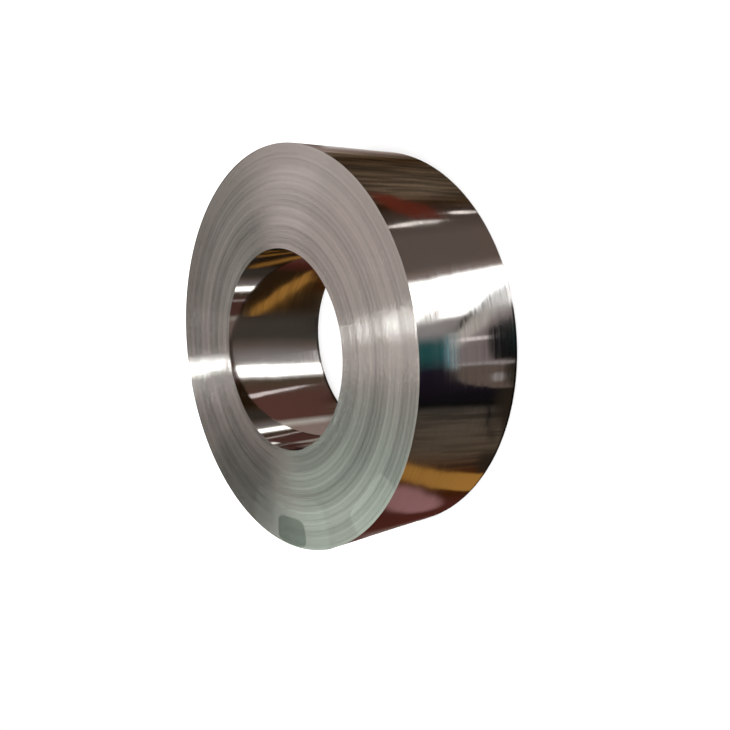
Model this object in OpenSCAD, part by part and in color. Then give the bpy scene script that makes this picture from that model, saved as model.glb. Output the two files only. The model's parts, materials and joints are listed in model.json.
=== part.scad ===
// Slit coil of bright cold-rolled steel strip, standing on its end with its bore upright.
// One strip is wound on itself with no core, so the coil is one turned solid with a bore.
// The origin is on the bore's axis, on the floor that the lowest rings stand on.

/* [Coil] */
// Outside diameter over the last turn
coil_d = 1016; // [700:1:1800]
// Diameter of the bore
bore_d = 508; // [300:1:610]
// Width that the strip was slit to
strip_w = 310; // [60:1:1500]

/* [Turns] */
// Thickness of the strip
strip_t = 2; // [1:0.1:4]
// Turns that lie in line and show as one ring on the ends
turns_per_ring = 3; // [2:1:6]
// How far the winding wandered along the bore, from one ring to another
wander = 1.2; // [0.4:0.1:4]
// Width and depth of the groove between two rings
groove = 0.5; // [0.2:0.05:0.8]
// Bevel that slitting and handling leave on the two outer rims
rim_bevel = 0.5; // [0.2:0.05:0.8]

/* [Hidden] */

$fn = 180;
coil_r = coil_d / 2;
bore_r = bore_d / 2;
mid_z = (strip_w + wander) / 2;
turns = round((coil_r - bore_r) / strip_t);
rings = floor(turns / turns_per_ring);
ring_pitch = (coil_r - bore_r) / rings;

// The winding drifts in a slow wave with a quicker, lower one on it, in this many degrees a ring
slow_wave = 47;
quick_wave = 131;
quick_share = 0.5;
// The drift is held to this many steps to each side of the middle
drift_steps = 2;

// Height of a ring over its middle place, from -wander/2 to wander/2
function ring_shift(i) =
    let (wave = sin(slow_wave * i) + quick_share * sin(quick_wave * i))
    wander / 2 * max(-1, min(1, round(drift_steps * wave) / drift_steps));

// Radius at which a ring starts
function ring_start(i) = bore_r + i * ring_pitch;

// Height of a ring's face. side is 1 for the top end and -1 for the bottom end.
function ring_face(i, side) = mid_z + side * strip_w / 2 + ring_shift(i);

// Height of the groove's floor between a ring and the next one out, under the lower of the two faces
function groove_floor(i, side) =
    side * min(side * ring_face(i, side), side * ring_face(i + 1, side)) - side * groove;

// One end of the coil as a line from the bore out to the rim: each ring is a flat between two grooves
function end_line(side) = [
    for (i = [0 : rings - 1])
        let (
            face = ring_face(i, side),
            inner = i == 0 ? 0 : groove / 2,
            outer = i == rings - 1 ? rim_bevel : groove / 2
        )
        each [
            [ring_start(i) + inner, face],
            [ring_start(i + 1) - outer, face],
            i == rings - 1
                ? [coil_r, face - side * rim_bevel]
                : [ring_start(i + 1), groove_floor(i, side)]
        ]
];

function reversed(points) = [for (i = [len(points) - 1 : -1 : 0]) points[i]];

// The wound strip: its section is turned about the bore's axis
module strip_coil() {
    color("silver")
        rotate_extrude()
            polygon(concat(end_line(-1), reversed(end_line(1))));
}

strip_coil();
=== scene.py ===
"""Slit coil of bright steel strip, standing on its end, modelled with every turn of its winding."""
import json
from math import atan2, cos, hypot, pi, radians, sin

import bmesh
import bpy
from mathutils import Matrix, Vector


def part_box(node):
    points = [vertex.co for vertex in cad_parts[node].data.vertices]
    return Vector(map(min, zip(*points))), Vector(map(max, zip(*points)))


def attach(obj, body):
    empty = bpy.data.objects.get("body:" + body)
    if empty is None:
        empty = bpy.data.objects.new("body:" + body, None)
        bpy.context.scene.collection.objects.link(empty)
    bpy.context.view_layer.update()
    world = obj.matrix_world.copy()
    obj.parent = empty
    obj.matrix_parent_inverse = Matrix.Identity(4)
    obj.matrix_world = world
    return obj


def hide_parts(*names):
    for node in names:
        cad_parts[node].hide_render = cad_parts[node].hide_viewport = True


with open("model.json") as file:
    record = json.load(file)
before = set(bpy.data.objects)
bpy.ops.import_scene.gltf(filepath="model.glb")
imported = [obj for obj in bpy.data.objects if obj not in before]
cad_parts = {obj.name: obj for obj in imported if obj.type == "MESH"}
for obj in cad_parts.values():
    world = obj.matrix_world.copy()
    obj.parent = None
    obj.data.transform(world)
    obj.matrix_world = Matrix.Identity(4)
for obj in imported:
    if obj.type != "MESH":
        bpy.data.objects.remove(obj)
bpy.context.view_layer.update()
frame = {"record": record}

# ---------------------------------------------------------------- the coil's sizes, from the frame
coil_low, coil_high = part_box("strip_coil")
bore = next(m for m in frame["record"]["mounts"] if m["name"] == "mandrel_bore")
COIL_R = (coil_high.x - coil_low.x) / 2
BORE_R = bore["dims"]["r_mm"] / 1000
STRIP_W = bore["dims"]["length_mm"] / 1000
MID_Z = (coil_low.z + coil_high.z) / 2
WANDER = (coil_high.z - coil_low.z) - STRIP_W

STRIP_T = 0.002  # thickness of the strip, and so the pitch of its turns
TURNS = round((COIL_R - BORE_R) / STRIP_T) - 1  # the last part turn brings the rim out to COIL_R

# The winding: one step is a small turn of the strip round the bore
STEPS = 180
ROWS = 12  # rows of faces across the strip where its broad side shows
TAIL_BEARING = radians(-79)  # where the strip's two ends lie, counted from the front (-Y) towards +X
SHEARED_DROP = 0.00011  # how far the sheared edge falls away over the strip's thickness, at most
RIM_BEVEL = 0.0004
SPUN = radians(359)  # the spin stops just short of a full turn, so that its two ends can be told apart
AT_EDGE = 0.001  # share of the strip's width within which a vertex lies on the sheared edge
SMOOTH_UNDER = radians(12)  # faces that meet at less than this look smooth
SHEARED = 1  # place of the sheared edge's finish on the coil; the rolled face has place 0

# Where the parts of the skin lie on the map for baking, which is 1 by 1
MAP_TOP = (0.25, 0.25)
MAP_BOTTOM = (0.75, 0.25)
MAP_DISC = 0.24
MAP_RISERS = (0.503, 0.518)
MAP_OUTSIDE = (0.53, 0.75)
MAP_BORE = (0.77, 0.99)

# ---------------------------------------------------------------- how the winding wandered
# Each wave is its share of the wander, its length in turns, and where it starts.
WANDER_WAVES = ((0.30, 23.0, 0.4), (0.34, 12.6, 2.1), (0.22, 7.3, 4.4), (0.10, 2.7, 1.3), (0.08, 1.4, 0.2))
# The tilt of the sheared edge changes in waves too, as the slitter's knives wore and were set
TILT_WAVES = ((0.40, 48.0, 2.75), (0.30, 15.7, 0.6), (0.25, 6.3, 3.0), (0.30, 2.7, 5.2), (0.15, 1.4, 1.0))
# The broad side of the outer and inner turn is a little uneven: height, waves round, waves across
SWELLS = ((0.00010, 4, 0.7, 0.3), (0.00006, 7, -1.3, 2.2), (0.00002, 13, 2.1, 4.0))

# ---------------------------------------------------------------- colours of the steel, as linear light
STRIP_WARM = (0.68, 0.65, 0.62)
STRIP_COOL = (0.64, 0.64, 0.63)
STRIP_LINE = (0.58, 0.56, 0.53)
# Painted shade: the broad side is darkened near the floor, where the coil stands on it
PAINTED_FOOT_SHADE = (0.06, 0.05, 0.045)
FOOT_SHADE_REACH = 0.010  # how far the painted shade reaches up from the floor, on the side towards -X
EDGE_WARM = (0.57, 0.545, 0.525)
EDGE_COOL = (0.53, 0.525, 0.50)
EDGE_GREEN = (0.47, 0.51, 0.475)
EDGE_TORN = (0.43, 0.41, 0.385)
# Painted shade: the colour laid along the gap between turns, where shade falls
GAP_SHADE = (0.16, 0.15, 0.14)
# Patches on the ends: bearing and radius of the middle, half of each, how soft the edge is, the colour,
# and how much of it shows. The first and the last are painted reflections: dark zones of the room that
# the ends mirror, painted on the steel. The three between them stand for nothing that a coil is known
# to have, and can be left out.
END_PATCHES_AND_REFLECTIONS = (
    ("painted_dark_reflection", (-128, 0.425), (20, 0.085), 0.9, (0.26, 0.30, 0.27), 0.40),
    ("pale_patch", (-98, 0.450), (21, 0.070), 0.3, (0.66, 0.69, 0.66), 0.28),
    ("dark_square_patch", (-97, 0.470), (7.5, 0.036), 0.25, (0.16, 0.20, 0.17), 0.70),
    ("pale_side_patch", (-53, 0.478), (11, 0.036), 0.3, (0.72, 0.73, 0.69), 0.40),
    ("painted_dim_reflection", (118, 0.495), (55, 0.050), 0.9, (0.30, 0.28, 0.26), 0.35),
)

# ---------------------------------------------------------------- the room that the steel mirrors
# The steel is a mirror, so most of its look is the room round it. A place in the room is a bearing
# in degrees from the front towards +X, and a fall: how far the ray goes down for each metre.
# Colours are 0 to 255 as they look in the steel, and over 255 for a light.
GLARE = (400, 400, 400)
LAMPLIGHT = (240, 230, 225)
LIT_WALL = (160, 155, 150)
PALE_WALL = (120, 105, 100)
TAUPE_WALL = (85, 75, 70)
MAUVE_WALL = (80, 55, 50)
RED_WALL = (65, 35, 30)
RUST_WALL = (55, 30, 15)
BROWN_RACK = (70, 60, 50)
GREY_RACK = (60, 55, 50)
OLIVE_ROOF = (40, 30, 20)
DARK_GAP = (20, 20, 20)
BLUE_GAP = (30, 25, 35)
SHADOW = (40, 35, 30)
DRUM_TEAL = (30, 65, 65)
DRUM_GREY = (125, 120, 120)
AMBER = (140, 100, 50)
WALLS = (  # what the outer turn mirrors, round the room
    (-180, PALE_WALL), (-155, RED_WALL), (-135, RED_WALL), (-118, RUST_WALL), (-95, RUST_WALL),
    (-76, BROWN_RACK), (-48, GREY_RACK), (-44, DARK_GAP), (-24, BLUE_GAP), (-15, DRUM_TEAL),
    (-8, DRUM_TEAL), (-2, DRUM_GREY), (4, DRUM_GREY), (7, GLARE), (26, GLARE), (28.5, PALE_WALL),
    (35, TAUPE_WALL), (55, TAUPE_WALL), (80, OLIVE_ROOF), (90, BROWN_RACK), (132, OLIVE_ROOF),
    (140, BROWN_RACK), (150, PALE_WALL), (160, LIT_WALL), (180, PALE_WALL),
)
BORE_WALLS = (  # what the bore mirrors, round the room
    (-180, TAUPE_WALL), (-150, MAUVE_WALL), (-128, RED_WALL), (-112, OLIVE_ROOF), (-60, OLIVE_ROOF),
    (-40, GREY_RACK), (-22, GREY_RACK), (-12, TAUPE_WALL), (6, DRUM_GREY), (11, LIT_WALL),
    (14, GLARE), (23, GLARE), (27, LIT_WALL), (31, BROWN_RACK), (54, MAUVE_WALL), (86, MAUVE_WALL),
    (94, LIT_WALL), (102, PALE_WALL), (124, PALE_WALL), (150, TAUPE_WALL), (180, TAUPE_WALL),
)
# Ovals in the room that the outer turn mirrors: the bearing and fall of the middle, half of each,
# how much the bearing slants with the fall, how soft the edge is, and the colour
OUTSIDE_OVALS = (
    ("mauve_sheet", (-113, 0.650), (17.0, 0.028), -450, 0.5, (125, 90, 90)),
    ("far_shadow", (-68, 0.761), (30.0, 0.015), 0, 0.6, SHADOW),
    ("low_shadow", (-98, 0.729), (14.0, 0.011), 0, 0.7, SHADOW),
    ("dark_post_top", (-52, 0.7402), (9.5, 0.0022), 0, 0.5, DARK_GAP),
    ("dark_post_foot", (-68, 0.7370), (11.0, 0.0022), 0, 0.5, DARK_GAP),
    ("red_hanging", (78, 0.680), (6.0, 0.030), -265, 0.6, (85, 40, 30)),
    ("lamp_row_near", (64.8, 0.687), (1.4, 0.022), 126, 0.6, LAMPLIGHT),
    ("lamp_row_far", (74.7, 0.731), (1.3, 0.014), 70, 0.6, LAMPLIGHT),
    ("grey_patch", (7.6, 0.6985), (4.0, 0.0105), 318, 0.7, LIT_WALL),
)
DRUM_OVALS = (
    ("drum_top", (4, 0.744), (8.0, 0.030), 450, 0.5, LIT_WALL),
    ("drum_bottom", (-32, 0.750), (8.0, 0.032), -170, 0.15, TAUPE_WALL),
    ("pale_spot", (-33.5, 0.756), (3.0, 0.006), 0, 0.7, DRUM_GREY),
    ("drum_end", (-33, 0.776), (14.0, 0.013), 0, 0.4, SHADOW),
)
# Beams run from one place to another: half the width at each end, how soft the sides are, and the colour
OUTSIDE_BEAMS = (
    ("amber_beam", (-73.5, 0.630), (-137.0, 0.760), (5.7, 16.0), 0.12, AMBER),
    ("teal_drum", (-14.5, 0.7110), (-6.0, 0.7800), (9.5, 25.0), 0.15, (50, 105, 120)),
    ("drum_rim", (-17.2, 0.7160), (-6.8, 0.7800), (13.2, 34.4), 0.06, (165, 185, 185)),
    ("grey_drum", (-17.4, 0.7178), (-6.8, 0.7800), (13.4, 34.2), 0.05, (110, 100, 100)),
)
DRUM_BEAMS = (
    ("drum_hoop", (-7.7, 0.722), (-8.5, 0.775), (1.1, 1.1), 0.5, (200, 190, 190)),
    ("lower_hoop", (-22.0, 0.720), (-25.5, 0.775), (1.0, 1.0), 0.5, DRUM_GREY),
    ("doorway", (-13.5, 0.7520), (-8.0, 0.7800), (9.0, 15.0), 0.1, DARK_GAP),
    ("drum_outline", (-2.6, 0.7190), (29.5, 0.7820), (2.2, 3.4), 0.4, SHADOW),
)
BORE_BEAMS = (
    ("amber_beam", (-50.0, 0.5240), (-106.0, 0.5975), (7.5, 9.5), 0.2, AMBER),
    ("lamp_row", (50.1, 0.505), (46.0, 0.575), (3.0, 1.0), 0.4, (200, 190, 190)),
)
BEAM_ROUND = 0.13  # share of a beam's length in which its first end is rounded
# The falls between which one part of the room passes into the next
OUTSIDE_STARTS = (0.592, 0.604)
DRUM_STARTS = (0.717, 0.719)
LOW_ROOM_STARTS = (0.38, 0.44)
# How many degrees the walls lean for each unit of fall, at two bearings,
# and the fall at which they stand upright
WALL_LEANS = ((-80, -190.0), (30, 110.0))
UPRIGHT_AT = 0.69
BORE_LEAN = 100.0
BORE_UPRIGHT_AT = 0.517
STRIP_MIRRORS = 0.65  # share of the light that the strip gives back

# Above the horizon, for the ends, as linear light. A place is the X and Z of its direction.
HIGH_DIM = (0.012, 0.022, 0.015)
HIGH_GREEN = (1.02, 1.16, 1.04)
HIGH_WARM = (0.80, 0.68, 0.65)
CEILING = (0.80, 0.74, 0.73)
HIGH_THINGS = (
    ("dark_hanging", (-0.08, 0.58), (0.08, 0.11), 0, 0.5, (0.010, 0.018, 0.012)),
    ("pale_panel", (0.38, 0.57), (0.23, 0.07), 0, 0.5, (1.08, 0.95, 0.93)),
)
HIGH_ROOM_STARTS = (0.20, 0.45)  # in Y: the ends mirror it only when seen from the front
PLAIN_ROOM = (0.72, 0.71, 0.70)  # everywhere else, above and below the horizon
BACKDROP = (1.0, 1.0, 1.0)

# ---------------------------------------------------------------- studio
CAMERA_LENS = 38.187  # millimetres, on a 36 mm sensor
CAMERA_ELEVATION = 39.423
CAMERA_ROLL = 97.594
CAMERA_FROM_MIDDLE = Vector((-0.0654, -1.6443, 1.2372))
SOFTBOX_PLACE = (-0.2, -0.2, 4.0)
SOFTBOX_SIZE = 3.4
SOFTBOX_WATTS = 190
FLOOR_SIZE = 60
FLOOR_COLOUR = (0.93, 0.93, 0.93)
# Two spotlights, each for the bright streak on one side of the ends: its place, where it points,
# its radius, the angle of its cone and its watts
FAR_SPOT = (0.065, 3.2, 1.6), (0, 0.42, 0.31), 0.065, 11, 9
NEAR_SPOT = (0.15, 0.95, 2.6), (0, -0.42, 0.31), 0.12, 26, 14


def sum_of_waves(waves, turns):
    """The waves added up at a place along the strip, counted in turns from its inner end."""
    return sum(share * sin(2 * pi * turns / length + start) for share, length, start in waves)


def wander_at(turns):
    """How far the strip lies over or under its middle height, within half of WANDER."""
    return WANDER / 2 * max(-1.0, min(1.0, sum_of_waves(WANDER_WAVES, turns)))


def drop_at(turns):
    """How far the sheared edge falls away over the strip's thickness."""
    return SHEARED_DROP * max(-1.0, min(1.0, sum_of_waves(TILT_WAVES, turns)))


def swell_at(around, across):
    """How far an exposed broad side stands in or out. It fades out at the strip's ends."""
    fade = min(1.0, 4 * min(around, 1 - around))
    return fade * sum(
        height * sin(2 * pi * (waves * around + slant * across) + start)
        for height, waves, slant, start in SWELLS
    )


# ---------------------------------------------------------------- modelling helpers
def deselect_all():
    for ob in bpy.context.selected_objects:
        ob.select_set(False)


def begin_edit(mode):
    bpy.ops.object.mode_set(mode="EDIT")
    bpy.ops.mesh.select_mode(type=mode)
    bpy.ops.mesh.select_all(action="DESELECT")


def select_vertices(ob, wanted):
    """In edit mode, selects the vertices for which wanted(vertex) is true."""
    shape = bmesh.from_edit_mesh(ob.data)
    for vertex in shape.verts:
        vertex.select_set(bool(wanted(vertex)))
    shape.select_flush_mode()
    bmesh.update_edit_mesh(ob.data)


def wind_strip():
    """The coil as one closed skin: the strip's section outline is spun and then wound into a spiral."""
    deselect_all()
    flats = 2 * TURNS - 1
    mid_r = (BORE_R + COIL_R) / 2
    bpy.ops.mesh.primitive_grid_add(
        x_subdivisions=flats, y_subdivisions=ROWS, size=1, calc_uvs=False,
        location=(mid_r, 0, MID_Z), rotation=(pi / 2, 0, 0),
    )
    coil = bpy.context.active_object
    coil.name = "wound_strip"
    coil.scale = (COIL_R - BORE_R, STRIP_W, 1)
    bpy.ops.object.transform_apply(location=True, rotation=True, scale=True)

    # Only the section's outline is kept
    begin_edit("VERT")
    bpy.ops.mesh.select_all(action="SELECT")
    bpy.ops.mesh.select_mode(type="EDGE")
    bpy.ops.mesh.region_to_loop()
    bpy.ops.mesh.select_mode(type="VERT")
    bpy.ops.mesh.select_all(action="INVERT")
    bpy.ops.mesh.delete(type="VERT")
    bpy.ops.object.mode_set(mode="OBJECT")

    name_places(coil)

    begin_edit("EDGE")
    bpy.ops.mesh.select_all(action="SELECT")
    bpy.ops.mesh.spin(steps=STEPS, angle=SPUN, center=(0, 0, 0), axis=(0, 0, 1))
    bpy.ops.object.mode_set(mode="OBJECT")
    shift_into_spiral(coil)

    # Each turn's end meets the next one's start where the spin began and ended
    begin_edit("VERT")
    seam = Vector((cos(TAIL_BEARING), sin(TAIL_BEARING), 0))
    select_vertices(coil, lambda v: abs(v.co.dot(seam)) < 1e-5)
    bpy.ops.mesh.remove_doubles(threshold=1e-6)
    bpy.ops.mesh.select_all(action="DESELECT")
    bpy.ops.mesh.select_non_manifold()
    bpy.ops.mesh.fill_holes(sides=0)
    bpy.ops.mesh.select_all(action="SELECT")
    bpy.ops.mesh.normals_make_consistent(inside=False)
    bpy.ops.object.mode_set(mode="OBJECT")
    return coil


def name_places(coil):
    """Stores on each outline vertex its turn edge (0 to 2 * TURNS - 1) and its share of the strip's width."""
    mesh = coil.data
    mesh.attributes.new("turn_edge", "INT", "POINT")
    mesh.attributes.new("across", "FLOAT", "POINT")
    turn_edge = mesh.attributes["turn_edge"].data
    across = mesh.attributes["across"].data
    flats = 2 * TURNS - 1
    for vertex in mesh.vertices:
        share = (vertex.co.x - BORE_R) / (COIL_R - BORE_R)
        turn_edge[vertex.index].value = round(share * flats)
        across[vertex.index].value = (vertex.co.z - MID_Z) / STRIP_W + 0.5


def shift_into_spiral(coil):
    """Moves each ring of the spun outline out by the strip's thickness as it goes round."""
    mesh = coil.data
    turn_edge = mesh.attributes["turn_edge"].data
    across = mesh.attributes["across"].data
    for vertex in mesh.vertices:
        x, y, _ = vertex.co
        around = (atan2(-y, x) / SPUN) % (2 * pi / SPUN)
        if around > 1.001:  # the first ring, when it lies a hair before the start
            around = 0.0
        step = round(around * STEPS)
        around = step / STEPS
        edge = turn_edge[vertex.index].value
        share = across[vertex.index].value
        turn, outer = divmod(edge, 2)
        r = BORE_R + STRIP_T * (turn + outer + around)
        along = turn + around
        z = MID_Z + wander_at(along) + (share - 0.5) * STRIP_W
        if share > 1 - AT_EDGE:
            z -= outer * drop_at(along)
        elif share < AT_EDGE:
            z += outer * drop_at(along)
        if edge == 0 or edge == 2 * TURNS - 1:
            r += swell_at(around, share)
        bearing = TAIL_BEARING + 2 * pi * around
        vertex.co = (r * sin(bearing), -r * cos(bearing), z)


def ease_rims(coil):
    """Rounds the four rims where a broad side meets a sheared edge."""
    begin_edit("EDGE")
    last = 2 * TURNS - 1
    shape = bmesh.from_edit_mesh(coil.data)
    turn_edge = shape.verts.layers.int["turn_edge"]
    across = shape.verts.layers.float["across"]

    def on_rim(vertex):
        return vertex[turn_edge] in (0, last) and not AT_EDGE < vertex[across] < 1 - AT_EDGE

    for edge in shape.edges:
        one, other = edge.verts
        along_rim = one[turn_edge] == other[turn_edge] and one[across] == other[across]
        edge.select_set(along_rim and on_rim(one) and edge.is_manifold)
    shape.select_flush_mode()
    bmesh.update_edit_mesh(coil.data)
    bpy.ops.mesh.bevel(offset=RIM_BEVEL, segments=2, profile=0.6)
    bpy.ops.object.mode_set(mode="OBJECT")


def shade(coil):
    """Smooth round the turns, and sharp where two sides meet."""
    deselect_all()
    coil.select_set(True)
    bpy.context.view_layer.objects.active = coil
    bpy.ops.object.shade_smooth_by_angle(angle=SMOOTH_UNDER)


def lay_map(coil):
    """A map for baking: two discs for the ends, a band for each broad side, and one for the small risers."""
    mesh = coil.data
    layer = mesh.uv_layers.new(name="OFBake")
    for face in mesh.polygons:
        middle = face.center
        around = (atan2(middle.x, -middle.y) - TAIL_BEARING) / (2 * pi) % 1
        turn = (hypot(middle.x, middle.y) - BORE_R) / STRIP_T - around
        for corner in face.loop_indices:
            x, y, z = mesh.vertices[mesh.loops[corner].vertex_index].co
            if face.material_index == SHEARED:
                disc = MAP_TOP if middle.z > MID_Z else MAP_BOTTOM
                layer.uv[corner].vector = (disc[0] + MAP_DISC * x / COIL_R, disc[1] + MAP_DISC * y / COIL_R)
                continue
            u = (atan2(x, -y) - TAIL_BEARING) / (2 * pi) % 1
            u += round(around - u)
            if 0.5 < turn < TURNS - 0.5:
                low, high = MAP_RISERS
                share = (abs(z - MID_Z) - STRIP_W / 2) / WANDER + 0.5
            else:
                low, high = MAP_OUTSIDE if turn > 1 else MAP_BORE
                share = (z - coil_low.z) / (coil_high.z - coil_low.z)
            layer.uv[corner].vector = (u, low + (high - low) * share)


# ---------------------------------------------------------------- node helpers
class Recipe:
    """Adds nodes to the tree of one finish, or of the surroundings."""

    def __init__(self, tree):
        self.tree = tree
        tree.nodes.clear()

    def set(self, socket, value):
        if isinstance(value, bpy.types.NodeSocket):
            self.tree.links.new(value, socket)
        elif isinstance(value, tuple) and len(value) == 3 and socket.type == "RGBA":
            socket.default_value = (*value, 1)
        else:
            socket.default_value = value

    def node(self, kind, inputs=(), **settings):
        made = self.tree.nodes.new(kind)
        for name, value in settings.items():
            setattr(made, name, value)
        for name, value in dict(inputs).items():
            self.set(made.inputs[name], value)
        return made

    def math(self, operation, *values):
        made = self.node("ShaderNodeMath", operation=operation)
        for socket, value in zip(made.inputs, values):
            self.set(socket, value)
        return made.outputs[0]

    def brighten(self, colour, times):
        made = self.node("ShaderNodeVectorMath", operation="SCALE")
        self.set(made.inputs[0], colour)
        self.set(made.inputs["Scale"], times)
        return made.outputs[0]

    def ease(self, value, start, end, low=0.0, high=1.0, how="SMOOTHSTEP"):
        """Goes from low to high as the value goes from start to end."""
        made = self.node("ShaderNodeMapRange", interpolation_type=how)
        self.set(made.inputs["Value"], value)
        self.set(made.inputs["From Min"], start)
        self.set(made.inputs["From Max"], end)
        self.set(made.inputs["To Min"], low)
        self.set(made.inputs["To Max"], high)
        return made.outputs[0]

    def mix(self, share, one, other):
        made = self.node("ShaderNodeMix", data_type="RGBA")
        self.set(made.inputs["Factor"], share)
        self.set(made.inputs[6], one)
        self.set(made.inputs[7], other)
        return made.outputs[2]

    def noise(self, place, scale, detail=2.0, roughness=0.5):
        made = self.node("ShaderNodeTexNoise", noise_dimensions="3D")
        self.set(made.inputs["Vector"], place)
        made.inputs["Scale"].default_value = scale
        made.inputs["Detail"].default_value = detail
        made.inputs["Roughness"].default_value = roughness
        return made.outputs["Fac"]

    def ramp(self, place, stops):
        """A colour ramp through (place, colour) pairs, with places from 0 to 1."""
        made = self.node("ShaderNodeValToRGB")
        self.set(made.inputs["Fac"], place)
        elements = made.color_ramp.elements
        while len(elements) < len(stops):
            elements.new(0.5)
        for element, (at, colour) in zip(elements, sorted(stops)):
            element.position = at
            element.color = (*colour, 1)
        return made.outputs["Color"]

    def oval(self, beside, under, half, square=False):
        """How far out a place lies in an oval: 0 in its middle and 1 on its edge. A square one is fuller."""
        power = 4 if square else 2
        across = self.math("ABSOLUTE", self.math("DIVIDE", beside, half[0]))
        down = self.math("ABSOLUTE", self.math("DIVIDE", under, half[1]))
        return self.math("ADD", self.math("POWER", across, power), self.math("POWER", down, power))

    def join(self, x, y, z):
        made = self.node("ShaderNodeCombineXYZ")
        for socket, value in zip(made.inputs, (x, y, z)):
            self.set(socket, value)
        return made.outputs[0]

    def split(self, vector):
        made = self.node("ShaderNodeSeparateXYZ", {"Vector": vector})
        return made.outputs[0], made.outputs[1], made.outputs[2]

    def stretch(self, parts, x, y, z):
        """A place with its X, Y and Z each multiplied."""
        return self.join(*(self.math("MULTIPLY", part, by) for part, by in zip(parts, (x, y, z))))


# ---------------------------------------------------------------- the steel's finishes
def new_finish(name):
    finish = bpy.data.materials.new(name)
    finish.use_nodes = True
    return finish, Recipe(finish.node_tree)


def bright_rolled_face():
    """The strip's broad side: bright annealed, near mirror, with faint lines along the rolling."""
    finish, r = new_finish("bright_rolled_face")
    place = r.node("ShaderNodeTexCoord").outputs["Object"]
    parts = r.split(place)
    lines = r.noise(r.stretch(parts, 3.0, 3.0, 160.0), 1.0, 4.0, 0.6)
    cloud = r.noise(place, 4.0, 3.0, 0.5)
    swell = r.noise(r.stretch(parts, 2.2, 2.2, 9.0), 1.0, 2.0, 0.4)
    colour = r.mix(r.ease(cloud, 0.3, 0.7), STRIP_WARM, STRIP_COOL)
    colour = r.mix(r.ease(lines, 0.35, 0.75, 0.0, 0.35), colour, STRIP_LINE)
    # Painted shade where the coil meets the floor: darker near the lower rim, on the side towards -X
    foot = r.ease(parts[2], FOOT_SHADE_REACH, FOOT_SHADE_REACH / 2, 0.0, 0.9)
    colour = r.mix(r.math("MULTIPLY", foot, r.ease(parts[0], 0.05, 0.01)), colour, PAINTED_FOOT_SHADE)
    rough = r.math("ADD", r.ease(lines, 0.3, 0.7, 0.03, 0.07), r.ease(cloud, 0.3, 0.7, 0.0, 0.035))
    height = r.math("ADD", swell, r.math("MULTIPLY", lines, 0.0015))
    bump = r.node("ShaderNodeBump", {"Height": height, "Strength": 1.0, "Distance": 0.0004})
    steel = r.node("ShaderNodeBsdfPrincipled", {
        "Base Color": colour, "Metallic": 1.0, "Roughness": rough, "Normal": bump.outputs[0],
    })
    out = r.node("ShaderNodeOutputMaterial")
    r.tree.links.new(steel.outputs[0], out.inputs[0])
    return finish


def sheared_edge():
    """The slit edges of the turns: satin, with a bright sheared zone, a dull torn zone and painted shade
    along the gap between turns.
    """
    finish, r = new_finish("sheared_edge")
    place = r.node("ShaderNodeTexCoord").outputs["Object"]
    x, y, _ = r.split(place)
    radius = r.math("SQRT", r.math("ADD", r.math("MULTIPLY", x, x), r.math("MULTIPLY", y, y)))
    bearing = r.math("ARCTAN2", x, r.math("MULTIPLY", y, -1.0))
    around = r.math("FRACT", r.math("DIVIDE", r.math("SUBTRACT", bearing, TAIL_BEARING - 2 * pi), 2 * pi))
    turns = r.math("DIVIDE", r.math("SUBTRACT", radius, BORE_R), STRIP_T)
    turns = r.math("SUBTRACT", turns, around)
    turn = r.math("FLOOR", turns)
    through = r.math("FRACT", turns)
    along = r.math("ADD", turn, around)
    rings = r.noise(r.join(r.math("MULTIPLY", along, 0.21), 0.0, 0.0), 1.0, 3.0, 0.6)
    fine = r.noise(r.join(r.math("MULTIPLY", along, 1.9), 4.0, 0.0), 1.0, 3.0, 0.6)
    patch = r.noise(place, 5.0, 3.0, 0.55)
    torn = r.ease(through, 0.3, 0.45)
    gap = r.math("MAXIMUM", r.ease(through, 0.10, 0.0), r.ease(through, 0.92, 1.0))
    colour = r.mix(r.ease(rings, 0.3, 0.7), EDGE_WARM, EDGE_COOL)
    colour = r.mix(r.ease(patch, 0.35, 0.75, 0.0, 0.3), colour, EDGE_GREEN)
    colour = r.mix(r.math("MULTIPLY", torn, 0.25), colour, EDGE_TORN)
    # Painted shade along the gap between turns
    colour = r.mix(r.math("MULTIPLY", gap, 0.5), colour, GAP_SHADE)
    colour = r.mix(r.ease(fine, 0.45, 0.8, 0.0, 0.2), colour, EDGE_TORN)
    # The first and the last patches are painted reflections: dark zones of the room, painted on the steel
    for _, middle, half, softness, patch_tint, share in END_PATCHES_AND_REFLECTIONS:
        beside = r.math("SUBTRACT", bearing, radians(middle[0]))
        under = r.math("SUBTRACT", radius, middle[1])
        away = r.oval(beside, under, (radians(half[0]), half[1]), square=True)
        colour = r.mix(r.ease(away, 1 + softness, 1 - softness, 0.0, share), colour, patch_tint)
    rough = r.math("ADD", r.ease(rings, 0.3, 0.7, 0.175, 0.20), r.math("MULTIPLY", torn, 0.02))
    rough = r.math("ADD", rough, r.ease(fine, 0.3, 0.7, -0.015, 0.015))
    height = r.math("SUBTRACT", r.math("MULTIPLY", fine, 0.4), r.math("MULTIPLY", gap, 1.0))
    bump = r.node("ShaderNodeBump", {"Height": height, "Strength": 0.2, "Distance": 0.0002})
    tangent = r.node("ShaderNodeTangent", direction_type="RADIAL", axis="Z")
    steel = r.node("ShaderNodeBsdfPrincipled", {
        "Base Color": colour, "Metallic": 1.0, "Roughness": rough, "Normal": bump.outputs[0],
        "Tangent": tangent.outputs[0], "Anisotropic": 1.0, "Anisotropic Rotation": 0.25,
    })
    out = r.node("ShaderNodeOutputMaterial")
    r.tree.links.new(steel.outputs[0], out.inputs[0])
    return finish


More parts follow.
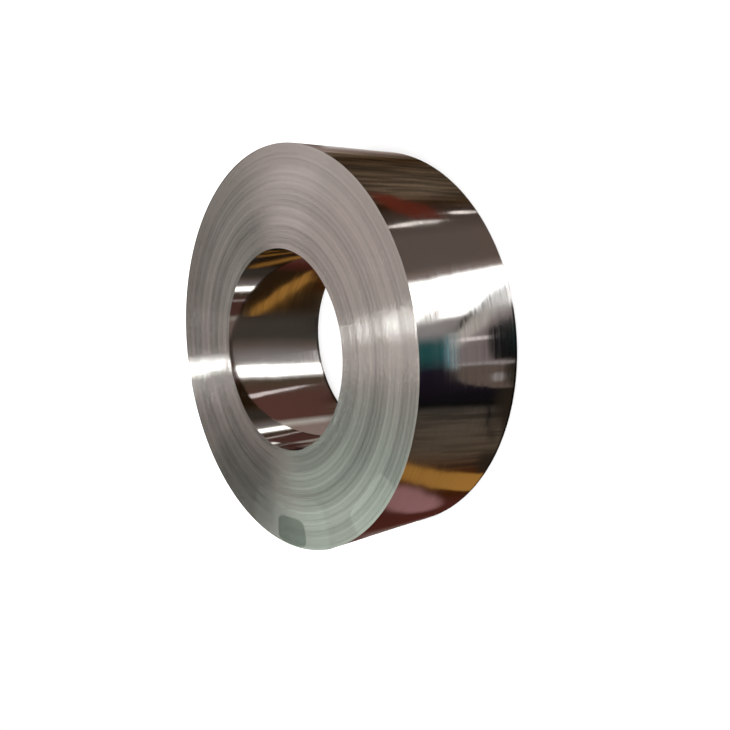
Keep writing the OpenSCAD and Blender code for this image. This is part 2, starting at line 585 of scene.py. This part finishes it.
def finish_coil(coil):
    """The broad sides get the rolled face, and what faces up or down gets the sheared edge."""
    coil.data.materials.clear()
    coil.data.materials.append(bright_rolled_face())
    coil.data.materials.append(sheared_edge())
    for face in coil.data.polygons:
        face.material_index = SHEARED if abs(face.normal.z) > 0.5 else 0


# ---------------------------------------------------------------- the room
def brighter(colour):
    """The light that the room must send for the steel to show this colour."""
    return tuple((c / 255) ** 2.2 / STRIP_MIRRORS for c in colour)


def walls(r, bearing, stops):
    """The walls round the room. The ramp holds a third of the light, as its colours stop at 1."""
    place = r.math("DIVIDE", r.math("ADD", bearing, 180.0), 360.0)
    dimmed = [((at + 180) / 360, tuple(c / 3 for c in brighter(colour))) for at, colour in stops]
    return r.brighten(r.ramp(place, dimmed), 3.0)


def thing(r, bearing, fall, behind, middle, half, slant, softness, colour):
    """An oval thing that stands before what is behind it."""
    under = r.math("SUBTRACT", fall, middle[1])
    beside = r.math("SUBTRACT", r.math("SUBTRACT", bearing, middle[0]), r.math("MULTIPLY", under, slant))
    away = r.oval(beside, under, half)
    return r.mix(r.ease(away, 1 + softness, 1 - softness), behind, colour)


def beam(r, bearing, fall, behind, start, end, halves, softness, colour):
    """A straight beam from one place in the room to another. It gets wider or narrower on the way."""
    along = r.math("DIVIDE", r.math("SUBTRACT", fall, start[1]), end[1] - start[1])
    middle = r.math("MULTIPLY_ADD", along, end[0] - start[0], start[0])
    half = r.math("MULTIPLY_ADD", along, halves[1] - halves[0], halves[0])
    blunt = r.ease(along, 0.0, BEAM_ROUND, 1.0, 0.0, "LINEAR")
    full = r.math("SQRT", r.math("SUBTRACT", 1.0, r.math("MULTIPLY", blunt, blunt)))
    half = r.math("MAXIMUM", r.math("MULTIPLY", half, full), 0.01)
    off = r.math("DIVIDE", r.math("ABSOLUTE", r.math("SUBTRACT", bearing, middle)), half)
    there = r.ease(off, 1 + softness, 1 - softness)
    there = r.math("MULTIPLY", there, r.ease(along, 1.0, 0.9))
    return r.mix(there, behind, brighter(colour))


def things(r, bearing, fall, behind, ovals, beams):
    """The ovals and then the beams, one before another."""
    for _, middle, half, slant, softness, colour in ovals:
        behind = thing(r, bearing, fall, behind, middle, half, slant, softness, brighter(colour))
    for _, start, end, halves, softness, colour in beams:
        behind = beam(r, bearing, fall, behind, start, end, halves, softness, colour)
    return behind


def rib_noise(r, across, fall, seed):
    """Noise in long streaks, for the ribs of the roof and the racks."""
    return r.noise(r.join(across, r.math("MULTIPLY", fall, 9.0), seed), 1.0, 3.0, 0.7)


def low_room(r, bearing, fall):
    """Below the horizon: what the outer turn and the bore mirror."""
    # The walls lean to both sides, and ribs show as fine streaks: strong on the right and faint on the left
    (left, left_lean), (right, right_lean) = WALL_LEANS
    slope = r.ease(bearing, left, right, left_lean, right_lean, "LINEAR")
    lean = r.math("MULTIPLY", r.math("SUBTRACT", fall, UPRIGHT_AT), slope)
    leaning = r.math("SUBTRACT", bearing, lean)
    outside = walls(r, leaning, WALLS)
    on_right = r.math("MULTIPLY", r.ease(bearing, 74, 88), r.ease(bearing, 142, 132))
    streaks = rib_noise(r, r.math("MULTIPLY", bearing, 0.42), fall, 0.0)
    outside = r.mix(on_right, outside, r.brighten(outside, r.ease(streaks, 0.35, 0.68, 0.35, 2.9)))
    on_left = r.math("MULTIPLY", r.ease(bearing, -42, -50), r.ease(bearing, -104, -94))
    streaks = rib_noise(r, r.math("MULTIPLY", leaning, 0.33), fall, 5.0)
    outside = r.mix(on_left, outside, r.brighten(outside, r.ease(streaks, 0.35, 0.65, 0.6, 1.5)))
    outside = things(r, bearing, fall, outside, OUTSIDE_OVALS, OUTSIDE_BEAMS)
    drum = things(r, bearing, fall, outside, DRUM_OVALS, DRUM_BEAMS)
    outside = r.mix(r.ease(fall, *DRUM_STARTS), outside, drum)

    lean = r.math("MULTIPLY", r.math("SUBTRACT", fall, BORE_UPRIGHT_AT), BORE_LEAN)
    inside = walls(r, r.math("SUBTRACT", bearing, lean), BORE_WALLS)
    inside = things(r, bearing, fall, inside, (), BORE_BEAMS)
    return r.mix(r.ease(fall, *OUTSIDE_STARTS), inside, outside)


def high_room(r, heading):
    """Above the horizon: what the sheared edges mirror."""
    x, y, z = r.split(heading)
    bright = r.mix(r.ease(x, -0.25, 0.0), HIGH_GREEN, HIGH_WARM)
    edge = r.math("MULTIPLY_ADD", x, -0.3, z)
    high = r.mix(r.ease(edge, 0.50, 0.55), HIGH_DIM, bright)
    for _, middle, half, slant, softness, colour in HIGH_THINGS:
        high = thing(r, x, z, high, middle, half, slant, softness, colour)
    return r.mix(r.ease(z, 0.86, 1.0), high, CEILING)


def room(world):
    """White for the camera and the floor, and the room for what mirrors it."""
    r = Recipe(world.node_tree)
    heading = r.node("ShaderNodeTexCoord").outputs["Generated"]
    x, y, z = r.split(heading)
    bearing = r.math("DIVIDE", r.math("ARCTAN2", x, r.math("MULTIPLY", y, -1.0)), pi / 180)
    fall = r.math("MULTIPLY", z, -1.0)
    # Away from what the main view mirrors, the room is plain, with soft lighter and darker parts
    parts = r.noise(r.join(x, y, 0.0), 2.2, 2.0, 0.5)
    plain = r.brighten(PLAIN_ROOM, r.ease(parts, 0.35, 0.65, 0.3, 1.25))
    low = r.mix(r.ease(fall, *LOW_ROOM_STARTS), plain, low_room(r, bearing, fall))
    high = r.mix(r.ease(y, *HIGH_ROOM_STARTS), plain, high_room(r, heading))
    mirrored = r.mix(r.ease(z, -0.08, 0.08), low, high)
    rays = r.node("ShaderNodeLightPath")
    light = r.mix(rays.outputs["Is Glossy Ray"], BACKDROP, mirrored)
    back = r.node("ShaderNodeBackground", {"Color": light, "Strength": 1.0})
    out = r.node("ShaderNodeOutputWorld")
    r.tree.links.new(back.outputs[0], out.inputs[0])


def hang(name, lamp, place, at):
    """Hangs a light so that it points at a place."""
    holder = bpy.data.objects.new(name, lamp)
    holder.location = place
    holder.rotation_euler = (Vector(at) - holder.location).to_track_quat("-Z", "Y").to_euler()
    bpy.context.collection.objects.link(holder)
    return holder


def light_room():
    """The room, one soft light over the coil, and two spotlights."""
    world = bpy.data.worlds.new("room")
    world.use_nodes = True
    world.cycles.sampling_method = "NONE"
    bpy.context.scene.world = world
    room(world)
    # The softbox lights the floor, and the spotlights put the bright streaks on the ends
    panel = bpy.data.lights.new("softbox", "AREA")
    panel.shape = "DISK"
    panel.size = SOFTBOX_SIZE
    panel.energy = SOFTBOX_WATTS
    softbox = hang("softbox", panel, SOFTBOX_PLACE, (0, 0, MID_Z))
    softbox.visible_glossy = False
    for name, (place, at, radius, cone, watts) in (("far_spot", FAR_SPOT), ("near_spot", NEAR_SPOT)):
        lamp = bpy.data.lights.new(name, "SPOT")
        lamp.shadow_soft_size = radius
        lamp.spot_size = radians(cone)
        lamp.spot_blend = 1.0
        lamp.energy = watts
        spot = hang(name, lamp, place, at)
        spot.visible_diffuse = False
        spot.visible_camera = False


def lay_floor():
    """A plain pale floor. The steel doesn't mirror it."""
    deselect_all()
    bpy.ops.mesh.primitive_plane_add(size=FLOOR_SIZE, location=(0, 0, coil_low.z))
    floor = bpy.context.active_object
    floor.name = "floor"
    paint, r = new_finish("pale_floor")
    surface = r.node("ShaderNodeBsdfPrincipled", {"Base Color": FLOOR_COLOUR, "Roughness": 0.9})
    out = r.node("ShaderNodeOutputMaterial")
    r.tree.links.new(surface.outputs[0], out.inputs[0])
    floor.data.materials.append(paint)
    floor.visible_glossy = False


def place_camera():
    """The camera looks down on the coil from the front and lies on its side."""
    lens = bpy.data.cameras.new("camera")
    lens.sensor_width = 36
    lens.lens = CAMERA_LENS
    camera = bpy.data.objects.new("camera", lens)
    upright = Matrix.Rotation(radians(90 - CAMERA_ELEVATION), 4, "X")
    rolled = upright @ Matrix.Rotation(radians(-CAMERA_ROLL), 4, "Z")
    camera.matrix_world = Matrix.Translation(CAMERA_FROM_MIDDLE + Vector((0, 0, MID_Z))) @ rolled
    bpy.context.collection.objects.link(camera)
    bpy.context.scene.camera = camera


place_camera()
light_room()
lay_floor()
bpy.context.scene.view_settings.view_transform = "Standard"

coil = wind_strip()
ease_rims(coil)
shade(coil)
finish_coil(coil)
lay_map(coil)
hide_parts("strip_coil")
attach(coil, "root")
